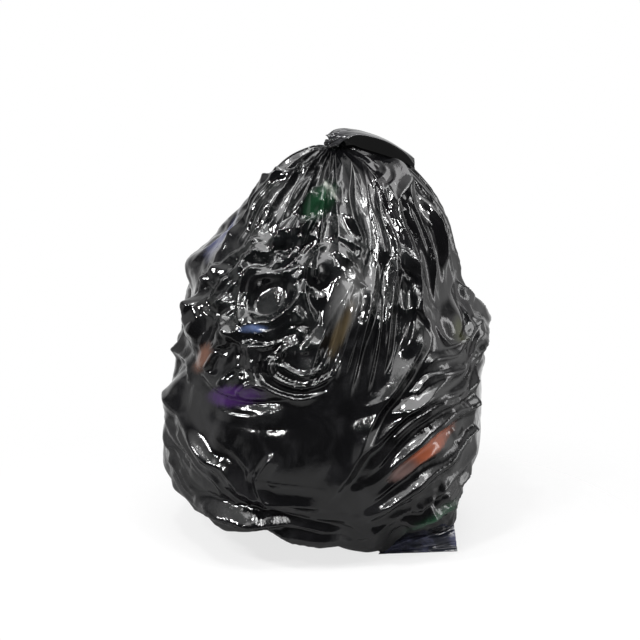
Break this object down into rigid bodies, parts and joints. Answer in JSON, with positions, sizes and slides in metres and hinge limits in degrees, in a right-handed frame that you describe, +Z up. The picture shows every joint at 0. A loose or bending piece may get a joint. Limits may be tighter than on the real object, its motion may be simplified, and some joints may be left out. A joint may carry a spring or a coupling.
{
  "type": "full bin bag",
  "caption": "Filled black plastic bin liner, tied at the neck, standing on its flat base with its loose mouth laid over to one side.",
  "frame": {"origin": "on the floor, under the middle of the bag's box", "axes": "+Z up from the floor through the knot, -Y towards the front, +X across to the side that the loose mouth lies over"},
  "size_m": [0.433, 0.378, 0.5323],
  "materials": {
    "black_film": "thin glossy black polythene film, crumpled over its contents"
  },
  "bodies": {
    "root": {"bin_bag": "black_film"}
  },
  "joints": []
}
